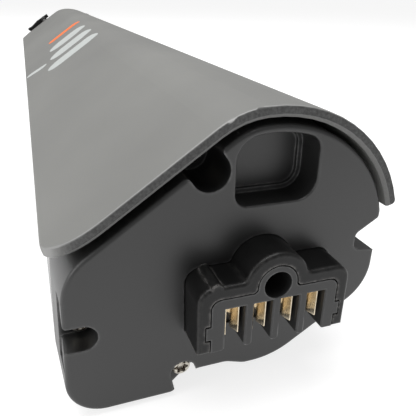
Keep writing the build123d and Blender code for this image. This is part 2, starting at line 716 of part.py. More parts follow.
with BuildPart() as rear_cap:
    with BuildSketch(section(REAR_CAP_START)):
        pack_outline(CASE_GROW)
    extrude(amount=-REAR_CAP_DEPTH, taper=degrees(atan(CASE_GROW / REAR_CAP_DEPTH)))
    fillet(rear_cap.faces().filter_by(Axis.Y).sort_by(Axis.Y)[-1].edges(), CAP_ROUND)
    for ear_start in EAR_ENDS:
        with BuildSketch(flank_plane(ear_start)):
            with Locations((PIVOT_U, PIVOT_V)):
                Circle(BARREL_R)
            with Locations((PIVOT_U, PIVOT_V)):
                Rectangle(2 * BARREL_R, 10, align=(Align.CENTER, Align.MAX))
        extrude(amount=-EAR)
    add(cap_spigot(REAR_CAP_START - SPIGOT_DEPTH, SPIGOT_DEPTH))
    with BuildSketch(section(REAR_CAP_START - SPIGOT_DEPTH)):
        pack_outline(CASE_GROW - CASE_WALL - FIT - SPIGOT_WALL)
        discs(CAP_SCREWS, BOSS_R + BOSS_CLEAR, mode=Mode.SUBTRACT)
    extrude(amount=-(REAR_CAP_DEPTH + SPIGOT_DEPTH - CAP_WALL), mode=Mode.SUBTRACT)
    with BuildSketch(section(PACK_LENGTH - CAP_WALL)):
        with Locations((BUTTON_X, BUTTON_Z)):
            Circle(RING_OUT + WELL_WALL)
    extrude(amount=BUTTON_WALL - CAP_WALL)
    with BuildSketch(section(PACK_LENGTH)):
        with Locations((BUTTON_X, BUTTON_Z)):
            Circle(BUTTON_R + BUTTON_FIT)
    extrude(amount=BUTTON_WELL, mode=Mode.SUBTRACT)
    with BuildSketch(section(PACK_LENGTH)):
        with Locations((BUTTON_X, BUTTON_Z)):
            Circle(RING_OUT)
            Circle(RING_IN, mode=Mode.SUBTRACT)
    extrude(amount=RING_DEPTH, mode=Mode.SUBTRACT)
    with BuildSketch(section(PACK_LENGTH)):
        with Locations((BUTTON_X, BUTTON_Z)):
            Circle(STEM_R + STEM_FIT)
    extrude(amount=BUTTON_WALL, mode=Mode.SUBTRACT)
    for x, z, seat in CAP_SCREWS:
        with BuildSketch(section(PACK_LENGTH)):
            with Locations((x, z)):
                Circle(SCREW_HEAD_R + HEAD_FIT)
        extrude(amount=REAR_SEAT, mode=Mode.SUBTRACT)
        with BuildSketch(section(PACK_LENGTH)):
            with Locations((x, z)):
                Circle(SCREW_R + FIT)
        extrude(amount=REAR_CAP_DEPTH + SPIGOT_DEPTH, mode=Mode.SUBTRACT)
    with BuildSketch(flank_plane(EAR_ENDS[0])):
        with Locations((PIVOT_U, PIVOT_V)):
            Circle(PIN_R)
    extrude(amount=-PIN_BORE, mode=Mode.SUBTRACT)
    with BuildSketch(lug_plane(LUG_START)):
        with Locations((0, CROWN_R - LUG_SEAT)):
            Rectangle(LUG_WIDTH + FIT, 20, align=(Align.CENTER, Align.MIN))
    extrude(amount=-LUG_LENGTH, mode=Mode.SUBTRACT)
write(rear_cap, "rear_cap")

with BuildPart() as rear_cap_screws:
    for x, z, seat in CAP_SCREWS:
        head_y = PACK_LENGTH - REAR_SEAT + SCREW_HEAD
        add(torx_screw(x, head_y, z, REAR_CAP_DEPTH + SCREW_LENGTH - REAR_SEAT, -1))
write(rear_cap_screws, "rear_cap_screws")

with BuildPart() as catch_lug:
    with BuildSketch(lug_plane(LUG_START + FIT)):
        with BuildLine():
            Polyline(
                (-LUG_WIDTH / 2, CROWN_R - LUG_SEAT + 0.02),
                (LUG_WIDTH / 2, CROWN_R - LUG_SEAT + 0.02),
                (LUG_WIDTH / 2, LUG_TOP_R - 2.4),
                (LUG_WIDTH / 2 - 3, LUG_TOP_R),
                (-LUG_WIDTH / 2 + 1, LUG_TOP_R),
                (-LUG_WIDTH / 2, LUG_TOP_R - 1),
                close=True,
            )
        make_face()
    extrude(amount=-(LUG_LENGTH - 2 * FIT))
    fillet(catch_lug.edges().filter_by(Axis.Y).sort_by(Axis.Z)[-2:], 0.6)
write(catch_lug, "catch_lug")

# ================================================================ release lever
with BuildPart() as release_lever:
    with BuildSketch(flank_plane(LEVER_START)):
        with BuildSketch(mode=Mode.PRIVATE) as side_view:
            with BuildLine():
                FilletPolyline(
                    (PIVOT_U, PIVOT_V - BARREL_R),
                    (LEVER_FREE_U + 9, PIVOT_V - BARREL_R),
                    (LEVER_FREE_U + 1.5, PIVOT_V - BARREL_R + 2.2),
                    (LEVER_FREE_U, LEVER_TOP_V - 0.6),
                    (LEVER_FREE_U + 6, LEVER_TOP_V - 1.4),
                    (LEVER_FREE_U + 15, LEVER_TOP_V),
                    (PIVOT_U, PIVOT_V + BARREL_R),
                    radius=(6, 1.0, 0.8, 6, 8),
                )
                Line((PIVOT_U, PIVOT_V + BARREL_R), (PIVOT_U, PIVOT_V - BARREL_R))
            make_face()
        add(side_view.sketch)
        with Locations((PIVOT_U, PIVOT_V)):
            Circle(BARREL_R)
            Rectangle(LEVER_HEEL, BARREL_R, align=(Align.MIN, Align.MIN))
            Circle(PIN_R + PIN_FIT, mode=Mode.SUBTRACT)
    extrude(amount=-(LEVER_END - LEVER_START))
write(release_lever, "release_lever")

with BuildPart() as lever_pin:
    with BuildSketch(flank_plane(EAR_ENDS[0] + 0.1)):
        with Locations((PIVOT_U, PIVOT_V)):
            Circle(PIN_R - 0.01)
    extrude(amount=-(PIN_BORE - 0.2))
write(lever_pin, "lever_pin")

SPRING_WIRE = 0.5
SPRING_TURN_R = PIN_R + 0.75

with BuildPart() as lever_spring:
    with BuildSketch(flank_plane(LEVER_END + 0.3)):
        with Locations((PIVOT_U, PIVOT_V)):
            Circle(SPRING_TURN_R + SPRING_WIRE / 2)
            Circle(SPRING_TURN_R - SPRING_WIRE / 2, mode=Mode.SUBTRACT)
    extrude(amount=-(SPRING_ROOM - 0.6))
write(lever_spring, "lever_spring")

# ================================================================ power button
CLIP = 0.8
CLIP_R = STEM_R + 1.6
BUTTON_WIRE = 0.6
BUTTON_TOP = PACK_LENGTH + BUTTON_PROUD
BUTTON_HEAD = 3.2
STEM_END = PACK_LENGTH - BUTTON_WALL - BUTTON_TRAVEL - CLIP - 0.6
BUTTON_SPRING_R = 3.4

with BuildPart() as power_button:
    with BuildSketch(section(BUTTON_TOP)):
        with Locations((BUTTON_X, BUTTON_Z)):
            Circle(BUTTON_R)
    extrude(amount=BUTTON_HEAD)
    fillet(power_button.faces().sort_by(Axis.Y)[-1].edges(), 0.7)
    with BuildSketch(section(BUTTON_TOP - BUTTON_HEAD)):
        with Locations((BUTTON_X, BUTTON_Z)):
            Circle(STEM_R)
    extrude(amount=BUTTON_TOP - BUTTON_HEAD - STEM_END)
write(power_button, "power_button")

with BuildPart() as button_clip:
    with BuildSketch(section(PACK_LENGTH - BUTTON_WALL - 0.1)):
        with Locations((BUTTON_X, BUTTON_Z)):
            Circle(CLIP_R)
            Circle(STEM_R + 0.01, mode=Mode.SUBTRACT)
    extrude(amount=CLIP)
write(button_clip, "button_clip")

with BuildPart() as button_spring:
    with BuildSketch(section(BUTTON_TOP - BUTTON_HEAD - BUTTON_TRAVEL - 0.1)):
        with Locations((BUTTON_X, BUTTON_Z)):
            Circle(BUTTON_SPRING_R + BUTTON_WIRE / 2)
            Circle(BUTTON_SPRING_R - BUTTON_WIRE / 2, mode=Mode.SUBTRACT)
    extrude(amount=BUTTON_TOP - BUTTON_HEAD - BUTTON_TRAVEL - 0.12 - (PACK_LENGTH - BUTTON_WELL))
write(button_spring, "button_spring")

with BuildPart() as light_ring:
    with BuildSketch(section(PACK_LENGTH)):
        with Locations((BUTTON_X, BUTTON_Z)):
            Circle(RING_OUT - 0.05)
            Circle(RING_IN + 0.05, mode=Mode.SUBTRACT)
    extrude(amount=RING_DEPTH - 0.02)
write(light_ring, "light_ring")

BOARD = 1.6
SWITCH_SIZE = 6.0
SWITCH_HEIGHT = 2.6
SWITCH_CAP = 1.0
SWITCH_CAP_R = 1.7
SWITCH_GAP = 0.25          # between the pressed stem and the switch
BUTTON_BOARD_Y = STEM_END - BUTTON_TRAVEL - SWITCH_GAP - SWITCH_HEIGHT - SWITCH_CAP - BOARD
BUTTON_BOARD_SIZE = (34.0, 20.0)
BOARD_HOLE_INSET = 3.0

with BuildPart() as button_board:
    with BuildSketch(section(BUTTON_BOARD_Y)):
        with Locations((BUTTON_X, BUTTON_Z)):
            RectangleRounded(*BUTTON_BOARD_SIZE, 1.5)
            hole_x = BUTTON_BOARD_SIZE[0] - 2 * BOARD_HOLE_INSET
            hole_z = BUTTON_BOARD_SIZE[1] - 2 * BOARD_HOLE_INSET
            with GridLocations(hole_x, hole_z, 2, 2):
                Circle(1.2, mode=Mode.SUBTRACT)
    extrude(amount=-BOARD)
write(button_board, "button_board")

with BuildPart() as button_switch:
    with BuildSketch(section(BUTTON_BOARD_Y + BOARD)):
        with Locations((BUTTON_X, BUTTON_Z)):
            Rectangle(SWITCH_SIZE, SWITCH_SIZE)
    extrude(amount=-SWITCH_HEIGHT)
    with BuildSketch(section(BUTTON_BOARD_Y + BOARD + SWITCH_HEIGHT)):
        with Locations((BUTTON_X, BUTTON_Z)):
            Circle(SWITCH_CAP_R)
    extrude(amount=-SWITCH_CAP)
write(button_switch, "button_switch")

with BuildPart() as status_leds:
    with BuildSketch(section(BUTTON_BOARD_Y + BOARD)):
        with Locations((BUTTON_X, BUTTON_Z)):
            with GridLocations(2 * (RING_IN + 0.8), 1, 2, 1):
                Rectangle(1.6, 3.2)
    extrude(amount=-1.1)
write(status_leds, "status_leds")

# ================================================================ cells
def cell(x, z, y, flipped):
    """One round cell: a can with a crimp groove and a raised button on its positive end."""
    top = CELL_LENGTH
    with BuildPart(mode=Mode.PRIVATE) as can:
        with BuildSketch(Plane((x, y, z))):
            with BuildLine():
                Polyline(
                    (0, 0), (CELL_R - 0.6, 0), (CELL_R, 0.6), (CELL_R, top - 4.6),
                    (CELL_R - 0.9, top - 4.0), (CELL_R - 0.9, top - 3.4), (CELL_R, top - 2.8),
                    (CELL_R, top - 1.4), (CELL_R - 0.7, top - 0.9), (4.4, top - 0.9),
                    (4.0, top), (0, top), (0, 0),
                )
            make_face()
        revolve(axis=Axis((x, y, z), (0, 1, 0)))
    if flipped:
        return can.part.mirror(Plane((0, y + top / 2, 0), z_dir=(0, 1, 0)))
    return can.part


def module_cells(module):
    """Cell places in one module; the last module leaves two free for the wiring."""
    if module == MODULES - 1:
        return CELL_CENTRES[:LAST_MODULE_CELLS]
    return CELL_CENTRES


def module_start(module):
    return MODULE_START + module * MODULE_PITCH


for module in range(MODULES):
    with BuildPart() as cells:
        for x, z in module_cells(module):
            add(cell(x, z, module_start(module), module % 2 == 1))
    write(cells, f"cells_{module + 1}")

# ================================================================ holder trays
LANE_LEFT = 29.5
LANE_MIDDLE_Z = -2.0
LANE_HEIGHT = 40.0
LANE_WIDTH = 13.0
TRAY_FIT = 0.4


def wiring_lane():
    """Cuts the lane for the leads out of the sketch, down the right side."""
    with Locations((LANE_LEFT, LANE_MIDDLE_Z)):
        Rectangle(LANE_WIDTH, LANE_HEIGHT, align=(Align.MIN, Align.CENTER), mode=Mode.SUBTRACT)


for module in range(MODULES):
    with BuildPart() as trays:
        for tray_start in (0, CELL_LENGTH - TRAY_DEPTH):
            with BuildSketch(section(module_start(module) + tray_start)):
                pack_outline(CASE_GROW - CASE_WALL - TRAY_FIT)
                wiring_lane()
                discs(CELL_CENTRES, CELL_BORE, mode=Mode.SUBTRACT)
            extrude(amount=-TRAY_DEPTH)
    write(trays, f"trays_{module + 1}")

# ================================================================ busbars and insulators
LINKS = [(0, 1), (1, 2), (3, 4), (4, 5), (5, 6), (0, 3), (1, 4)]
LINK_WIDTH = 8.0
PAD_R = 6.5


def busbar_shape(places):
    """Discs on the cell ends, joined by straight strips."""
    discs(places, PAD_R)
    for first, second in LINKS:
        if second < len(places):
            start = Vector(*places[first])
            finish = Vector(*places[second])
            middle = (start + finish) / 2
            turn = Vector(1, 0).get_signed_angle(finish - start)
            with Locations(Location((middle.X, middle.Y), turn)):
                Rectangle((finish - start).length, LINK_WIDTH)


for junction in range(MODULES + 1):
    with BuildPart() as busbars:
        if junction > 0:
            with BuildSketch(section(module_start(junction - 1) + CELL_LENGTH + 0.01)):
                busbar_shape(module_cells(junction - 1))
            extrude(amount=-STRIP)
        if junction < MODULES:
            with BuildSketch(section(module_start(junction) - 0.01)):
                busbar_shape(module_cells(junction))
            extrude(amount=STRIP)
    write(busbars, f"busbars_{junction + 1}")

with BuildPart() as insulators:
    for junction in range(1, MODULES):
        with BuildSketch(section(module_start(junction) - STRIP - 0.1)):
            pack_outline(CASE_GROW - CASE_WALL - 1.5)
            wiring_lane()
        extrude(amount=MODULE_PITCH - CELL_LENGTH - 2 * STRIP - 0.3)
write(insulators, "insulators")

# ================================================================ battery management board
BMS_LEFT = -38.0
BMS_WIDTH = 64.0
BMS_START = 40.0
BMS_LENGTH = 48.0
BMS_Z = -2.0
BMS_TOP = BMS_Z + BOARD
BMS_MIDDLE = (BMS_LEFT + BMS_WIDTH / 2, BMS_START + BMS_LENGTH / 2)
CARRIER_Z = -20.0
CARRIER_THICK = 2.0
BULKHEAD_START = 92.0
POST_SPACING = (BMS_WIDTH - 22, BMS_LENGTH - 8)
POST_R = 2.6

with BuildPart() as bms_carrier:
    with BuildSketch(section(BULKHEAD_START)):
        pack_outline(CASE_GROW - CASE_WALL - TRAY_FIT)
        wiring_lane()
    extrude(amount=-CARRIER_THICK)
    with BuildSketch(Plane.XY.offset(CARRIER_Z)):
        with Locations((BMS_MIDDLE[0], BULKHEAD_START + 0.5)):
            Rectangle(BMS_WIDTH - 14, BMS_LENGTH + 4, align=(Align.CENTER, Align.MAX))
    extrude(amount=-CARRIER_THICK)
write(bms_carrier, "bms_carrier")

with BuildPart() as bms_posts:
    with BuildSketch(Plane.XY.offset(CARRIER_Z)):
        with Locations(BMS_MIDDLE):
            with GridLocations(*POST_SPACING, 2, 2):
                RegularPolygon(POST_R, 6)
    extrude(amount=BMS_Z - CARRIER_Z)
write(bms_posts, "bms_posts")

with BuildPart() as bms_board:
    with BuildSketch(Plane.XY.offset(BMS_Z)):
        with Locations(BMS_MIDDLE):
            RectangleRounded(BMS_WIDTH, BMS_LENGTH, 2)
    extrude(amount=BOARD)
write(bms_board, "bms_board")

FET_SIZE = (9.0, 10.0, 4.4)
FET_PITCH = 11.0
FET_ROW_Y = BMS_START + 14
SPREADER_LENGTH = 38.0
SPREADER_THICK = 5.0
FIN_PITCH = 3.4

with BuildPart() as power_transistors:
    with BuildSketch(Plane.XY.offset(BMS_Z)):
        with Locations((BMS_MIDDLE[0], FET_ROW_Y)):
            with GridLocations(FET_PITCH, 1, 4, 1):
                Rectangle(FET_SIZE[0], FET_SIZE[1])
    extrude(amount=-FET_SIZE[2])
write(power_transistors, "power_transistors")

with BuildPart() as heat_spreader:
    with BuildSketch(Plane.XY.offset(BMS_Z - FET_SIZE[2] - 0.02)):
        with Locations((BMS_MIDDLE[0], FET_ROW_Y)):
            Rectangle(SPREADER_LENGTH, 14)
    extrude(amount=-SPREADER_THICK)
    with BuildSketch(Plane.XY.offset(BMS_Z - FET_SIZE[2] - 6)):
        with Locations((BMS_MIDDLE[0], FET_ROW_Y)):
            with GridLocations(1, FIN_PITCH, 1, 4):
                Rectangle(SPREADER_LENGTH, 1.4)
    extrude(amount=FIN_PITCH, mode=Mode.SUBTRACT)
write(heat_spreader, "heat_spreader")

with BuildPart() as bms_components:
    with BuildSketch(Plane.XY.offset(BMS_TOP)):
        with Locations((BMS_MIDDLE[0] - 2, BMS_START + 30)):
            Rectangle(12, 12)
        with Locations((BMS_MIDDLE[0] - 22, BMS_START + 30)):
            Rectangle(7, 7)
    extrude(amount=1.4)
    with BuildSketch(Plane.XY.offset(BMS_TOP)):
        with Locations((BMS_MIDDLE[0] - 8, BMS_START + BMS_LENGTH - 5)):
            Rectangle(30, 5.5)
    extrude(amount=6.5)
    with BuildSketch(Plane.XY.offset(BMS_TOP)):
        with Locations((BMS_MIDDLE[0] - 14, BMS_START + 20)):
            with GridLocations(9, 1, 2, 1):
                Circle(4)
    extrude(amount=10)
write(bms_components, "bms_components")

FUSE_PLACE = (BMS_MIDDLE[0] + 16, BMS_START + 22)
FUSE_BASE = 4.0

with BuildPart() as main_fuse:
    with BuildSketch(Plane.XY.offset(BMS_TOP)):
        with Locations(FUSE_PLACE):
            Rectangle(8, 20)
    extrude(amount=FUSE_BASE)
    with BuildSketch(Plane.XY.offset(BMS_TOP + FUSE_BASE)):
        with Locations(FUSE_PLACE):
            RectangleRounded(6, 19, 1)
    extrude(amount=8)
write(main_fuse, "main_fuse")


# ================================================================ internal leads
def lead(points, radii, diameter):
    with BuildPart(mode=Mode.PRIVATE) as wire:
        with BuildLine() as route:
            FilletPolyline(*points, radius=radii)
        with BuildSketch(Plane(route.line @ 0, z_dir=route.line % 0)):
            Circle(diameter / 2)
        sweep()
    return wire.part


POWER_LEAD = 3.6
SIGNAL_LEAD = 1.6
LANE_X = 31.9
STACK_Z = -7.5
BUTTON_LANE_Z = 12.0

for name, index in (("negative_lead", 0), ("positive_lead", SLOTS - 1)):
    x = slot_x(index)
    lead_top = BMS_TOP + POWER_LEAD / 2 + 0.05
    with BuildPart() as power_lead:
        add(lead(
            [(x, TAIL_END + 0.02, LEAF_MID_Z), (x, 24, LEAF_MID_Z), (x, 33, lead_top),
             (x, 46, lead_top)],
            (6, 6), POWER_LEAD,
        ))
    write(power_lead, name)

with BuildPart() as signal_leads:
    for index in (1, 2):
        x = slot_x(index)
        lead_top = BMS_TOP + SIGNAL_LEAD / 2 + 0.05
        add(lead(
            [(x, TAIL_END + 0.02, LEAF_MID_Z), (x, 24, LEAF_MID_Z), (x, 33, lead_top),
             (x, 44, lead_top)],
            (6, 6), SIGNAL_LEAD,
        ))
write(signal_leads, "signal_leads")

STACK_END = module_start(MODULES - 1) + CELL_LENGTH + STRIP + POWER_LEAD / 2 + 0.05

with BuildPart() as stack_lead:
    add(lead(
        [(-2.0, STACK_END, STACK_Z), (LANE_X, STACK_END, STACK_Z), (LANE_X, 88, STACK_Z),
         (LANE_X - 0.5, 78, BMS_TOP + 1.9), (20.0, 66, BMS_TOP + 1.9)],
        (9, 5, 5), POWER_LEAD,
    ))
write(stack_lead, "stack_lead")

with BuildPart() as button_lead:
    add(lead(
        [(BUTTON_X + 12, BUTTON_BOARD_Y - 0.02, BUTTON_Z + 2),
         (BUTTON_X + 12, BUTTON_BOARD_Y - 14, BUTTON_Z + 2),
         (LANE_X - 0.6, BUTTON_BOARD_Y - 22, BUTTON_LANE_Z),
         (LANE_X - 0.6, 90, BUTTON_LANE_Z),
         (16, 78, 8), (4, 74, BMS_TOP + 1.15), (-1, 73, BMS_TOP + 1.15)],
        (5, 8, 8, 5, 4), 2.0,
    ))
write(button_lead, "button_lead")
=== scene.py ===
import json
import math

import bmesh
import bpy
from mathutils import Matrix, Vector
from mathutils.bvhtree import BVHTree


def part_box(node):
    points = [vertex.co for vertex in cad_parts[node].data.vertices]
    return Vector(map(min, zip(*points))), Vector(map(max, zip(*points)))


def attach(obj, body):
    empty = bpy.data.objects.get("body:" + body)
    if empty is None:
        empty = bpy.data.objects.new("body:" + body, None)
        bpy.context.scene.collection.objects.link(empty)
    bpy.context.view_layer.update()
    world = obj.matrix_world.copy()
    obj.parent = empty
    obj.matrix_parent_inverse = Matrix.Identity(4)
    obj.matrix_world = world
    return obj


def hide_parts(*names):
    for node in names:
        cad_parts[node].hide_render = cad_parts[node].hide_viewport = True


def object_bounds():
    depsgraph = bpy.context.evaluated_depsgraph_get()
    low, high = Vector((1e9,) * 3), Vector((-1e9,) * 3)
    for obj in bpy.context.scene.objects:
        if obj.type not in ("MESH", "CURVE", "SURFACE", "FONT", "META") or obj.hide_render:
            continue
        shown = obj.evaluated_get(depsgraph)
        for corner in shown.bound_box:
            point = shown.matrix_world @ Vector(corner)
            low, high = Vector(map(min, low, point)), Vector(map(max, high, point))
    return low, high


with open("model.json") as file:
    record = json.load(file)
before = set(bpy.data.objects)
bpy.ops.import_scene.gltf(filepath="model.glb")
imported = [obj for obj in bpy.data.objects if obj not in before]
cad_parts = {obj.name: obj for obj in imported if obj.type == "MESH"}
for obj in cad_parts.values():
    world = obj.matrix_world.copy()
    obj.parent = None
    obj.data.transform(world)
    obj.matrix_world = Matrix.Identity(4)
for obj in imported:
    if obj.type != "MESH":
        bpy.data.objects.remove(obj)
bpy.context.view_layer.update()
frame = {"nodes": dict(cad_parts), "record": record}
nodes = frame["nodes"]

MM = 0.001


# ---------------------------------------------------------------- shader building
class Reading:
    """A socket that can be used in arithmetic; each operation adds a Math node."""

    def __init__(self, tree, socket):
        self.tree = tree
        self.socket = socket

    def math(self, operation, *values, clamp=False):
        node = self.tree.nodes.new("ShaderNodeMath")
        node.operation = operation
        node.use_clamp = clamp
        for place, value in zip(node.inputs, values):
            if isinstance(value, Reading):
                self.tree.links.new(value.socket, place)
            else:
                place.default_value = value
        return Reading(self.tree, node.outputs[0])

    def __add__(self, other):
        return self.math("ADD", self, other)

    __radd__ = __add__

    def __sub__(self, other):
        return self.math("SUBTRACT", self, other)

    def __rsub__(self, other):
        return self.math("SUBTRACT", other, self)

    def __mul__(self, other):
        return self.math("MULTIPLY", self, other)

    __rmul__ = __mul__

    def clamped(self):
        return self.math("ADD", self, 0.0, clamp=True)

    def above(self, low, high):
        """0 below low, 1 over high, and a straight ramp between."""
        return ((self - low) * (1 / (high - low))).clamped()


class Finish:
    """One material, with its nodes added through node()."""

    def __init__(self, name, constants):
        self.material = bpy.data.materials.new(name)
        self.material.use_nodes = True
        self.tree = self.material.node_tree
        self.shader = self.tree.nodes["Principled BSDF"]
        for socket, value in constants.items():
            self.shader.inputs[socket].default_value = value

    def node(self, kind, settings, sockets):
        """A node of this kind, its settings set first, then its sockets' values or links."""
        made = self.tree.nodes.new(kind)
        for name, value in settings.items():
            setattr(made, name, value)
        for name, value in sockets.items():
            if isinstance(value, Reading):
                self.tree.links.new(value.socket, made.inputs[name])
            else:
                made.inputs[name].default_value = value
        return made

    def read(self, kind, settings, sockets, output):
        return Reading(self.tree, self.node(kind, settings, sockets).outputs[output])

    def place(self, stretch=(1, 1, 1)):
        """Position on the piece in metres, stretched along each axis."""
        position = self.read("ShaderNodeTexCoord", {}, {}, "Object")
        return self.read("ShaderNodeMapping", {}, {"Vector": position, "Scale": stretch}, 0)

    def noise(self, size, detail=2.0, rough=0.5, stretch=(1, 1, 1)):
        """Cloudy values round 0.5 whose patches are about size across."""
        sockets = {
            "Vector": self.place(stretch), "Scale": 1 / size, "Detail": detail, "Roughness": rough,
        }
        return self.read("ShaderNodeTexNoise", {}, sockets, 0)

    def specks(self, size):
        """Distance to the nearest of many scattered points, size apart."""
        sockets = {"Vector": self.place(), "Scale": 1 / size}
        return self.read("ShaderNodeTexVoronoi", {}, sockets, "Distance")

    def mix(self, amount, low, high):
        """Colour between low and high."""
        sockets = {0: amount, 6: low, 7: high}
        return self.read("ShaderNodeMix", {"data_type": "RGBA"}, sockets, 2)

    def rounded(self, radius):
        return self.read("ShaderNodeBevel", {"samples": 6}, {"Radius": radius}, 0)

    def edges(self, radius, gain):
        """1 on edges sharper than radius and 0 on flat stretches."""
        flat = self.read("ShaderNodeNewGeometry", {}, {}, "Normal")
        pair = {0: self.rounded(radius), 1: flat}
        turned = self.read("ShaderNodeVectorMath", {"operation": "DOT_PRODUCT"}, pair, "Value")
        return ((1 - turned) * gain).clamped()

    def relief(self, height, depth, rounding=0.0):
        """Fine relief of the surface, depth from its lowest to its highest."""
        sockets = {"Height": height, "Distance": depth, "Strength": 1.0}
        if rounding:
            sockets["Normal"] = self.rounded(rounding)
        self.set("Normal", self.read("ShaderNodeBump", {}, sockets, 0))

    def set(self, socket, value):
        self.tree.links.new(value.socket, self.shader.inputs[socket])


def grey(level):
    return (level, level, level, 1.0)


def shade(red, green, blue):
    return (red, green, blue, 1.0)


# ---------------------------------------------------------------- finishes
def painted_cover():
    finish = Finish("cover_paint", {"IOR": 1.46, "Metallic": 0.0, "Coat Weight": 0.0})
    flake = finish.noise(0.35 * MM, 2.0, 0.6)
    cloud = finish.noise(60 * MM, 3.0, 0.55)
    edge = finish.edges(0.5 * MM, 1.6)
    tone = (cloud * 0.6 + flake * 0.4).above(0.3, 0.7)
    base = finish.mix(tone, shade(0.148, 0.148, 0.142), shade(0.184, 0.184, 0.175))
    worn = (edge * finish.noise(3 * MM, 3.0).above(0.35, 0.6)).clamped()
    normal = finish.read("ShaderNodeNewGeometry", {}, {}, "Normal")
    ahead = finish.read("ShaderNodeSeparateXYZ", {}, {"Vector": normal}, "Y")
    rim = (ahead * ahead).above(0.3, 0.75)
    # faces turning from the flank towards the rim get lighter: a painted highlight along the nose of
    # the rim
    painted_nose_highlight = (ahead * ahead).above(0.03, 0.15) * (1 - rim)
    grit = finish.noise(0.7 * MM, 3.0, 0.7)
    bare = finish.mix(grit.above(0.35, 0.7), grey(0.025), grey(0.085))
    # lightened towards grey: a painted highlight on the rim's nose, and real wear on the patchy rubbed
    # edges
    base = finish.mix(worn * 0.5 + painted_nose_highlight * 0.35, base, grey(0.4))
    finish.set("Base Color", finish.mix(rim * 0.9, base, bare))
    finish.set("Roughness", 0.44 + cloud * 0.06 + flake * 0.08 + rim * 0.2)
    finish.relief(flake, 0.018 * MM, 0.25 * MM)
    return finish


def moulded(
    name, low, high, roughness, grain=0.3, depth=0.012, wear=0.3, rounding=0.35, ior=1.5, reach=0.5
):
    """Moulded plastic with a spark-eroded grain and edges rubbed lighter; sizes in millimetres."""
    finish = Finish(name, {"IOR": ior})
    texture = finish.noise(grain * MM, 3.0, 0.65)
    cloud = finish.noise(22 * MM, 3.0, 0.6)
    edge = finish.edges(reach * MM, 2.6)
    rubbed = edge * finish.noise(2.4 * MM, 4.0, 0.7).above(0.3, 0.6)
    base = finish.mix((cloud * 0.7 + texture * 0.3).above(0.3, 0.7), low, high)
    finish.set("Base Color", finish.mix((rubbed * wear).clamped(), base, grey(0.3)))
    finish.set("Roughness", roughness + (cloud - 0.5) * 0.16 + (texture - 0.5) * 0.1)
    finish.relief(texture, depth * MM, rounding * MM)
    return finish


def scuffed_hood():
    finish = moulded("hood_black", grey(0.002), grey(0.005), 0.36, 0.25, 0.012, 0.0, 0.4, 1.36)
    scratch = finish.noise(1.1 * MM, 4.0, 0.75, (1, 0.35, 1))
    edge = finish.edges(1.5 * MM, 3.2)
    chipped = (edge * scratch.above(0.4, 0.58)).clamped()
    base = finish.mix(finish.noise(9 * MM).above(0.3, 0.7), grey(0.002), grey(0.005))
    finish.set("Base Color", finish.mix(chipped * 0.75, base, shade(0.25, 0.24, 0.23)))
    finish.set("Roughness", 0.34 + chipped * 0.25 + scratch * 0.1)
    return finish


def rubber(name, low, high):
    finish = Finish(name, {"IOR": 1.52, "Sheen Weight": 0.15, "Sheen Roughness": 0.5})
    bloom = finish.noise(4 * MM, 4.0, 0.65)
    finish.set("Base Color", finish.mix(bloom.above(0.35, 0.7), low, high))
    finish.set("Roughness", 0.62 + bloom * 0.2)
    finish.relief(finish.noise(0.2 * MM, 2.0), 0.01 * MM)
    return finish


def metal(name, low, high, roughness, brushing=(1, 1, 1), grain=0.15, stain_and_hollow_shade=None):
    """Bare or plated metal with fine tool marks along the stretched axis."""
    finish = Finish(name, {"Metallic": 1.0})
    marks = finish.noise(grain * MM, 3.0, 0.6, brushing)
    cloud = finish.noise(3 * MM, 3.0, 0.6)
    base = finish.mix((cloud * 0.6 + marks * 0.4).above(0.3, 0.7), low, high)
    # where given, this dark brown goes into patchy discolouring and, through ambient occlusion, into
    # the hollows; the darkening in the hollows is painted shade with some grime
    if stain_and_hollow_shade:
        dull = finish.noise(1.4 * MM, 4.0, 0.7).above(0.56, 0.74)
        open_share = finish.read(
            "ShaderNodeAmbientOcclusion", {"samples": 8, "only_local": True},
            {"Distance": 1.4 * MM}, "AO",
        )
        # darker where ambient occlusion is low: painted shade in the recesses, partly grime
        hollow_shade_and_grime = (1 - open_share).above(0.18, 0.4)
        base = finish.mix((dull * 0.3 + hollow_shade_and_grime).clamped(), base, stain_and_hollow_shade)
    finish.set("Base Color", base)
    finish.set("Roughness", roughness + (marks - 0.5) * 0.2 + cloud * 0.08)
    finish.relief(marks, 0.004 * MM, 0.12 * MM)
    return finish


def foam(name):
    finish = Finish(name, {"Sheen Weight": 0.3})
    cells = finish.specks(0.6 * MM)
    finish.set("Base Color", finish.mix(cells.above(0.1, 0.6), grey(0.02), grey(0.075)))
    finish.set("Roughness", 0.85 + cells * 0.15)
    finish.relief(cells, 0.15 * MM)
    return finish


def circuit_board():
    finish = Finish("board_green", {"Coat Weight": 0.6, "Coat Roughness": 0.15, "IOR": 1.5})
    place = finish.place()
    tracks = finish.read(
        "ShaderNodeTexBrick", {"offset": 0.5, "squash": 0.6, "squash_frequency": 3},
        {"Vector": place, "Scale": 160.0, "Mortar Size": 0.03, "Mortar Smooth": 0.2}, "Fac",
    )
    cloud = finish.noise(8 * MM)
    base = finish.mix(cloud.above(0.3, 0.7), shade(0.012, 0.095, 0.035), shade(0.018, 0.13, 0.05))
    finish.set("Base Color", finish.mix(tracks * 0.5, base, shade(0.04, 0.24, 0.09)))
    finish.set("Roughness", 0.28 + cloud * 0.15)
    finish.relief(tracks, 0.03 * MM)
    return finish


def light_pipe():
    finish = Finish("light_guide", {"Subsurface Weight": 0.4, "Transmission Weight": 0.15, "IOR": 1.49})
    cloud = finish.noise(2 * MM, 3.0)
    finish.set("Base Color", finish.mix(cloud.above(0.3, 0.7), grey(0.62), grey(0.76)))
    finish.set("Roughness", 0.3 + cloud * 0.15)
    finish.relief(finish.noise(0.25 * MM), 0.006 * MM, 0.2 * MM)
    return finish


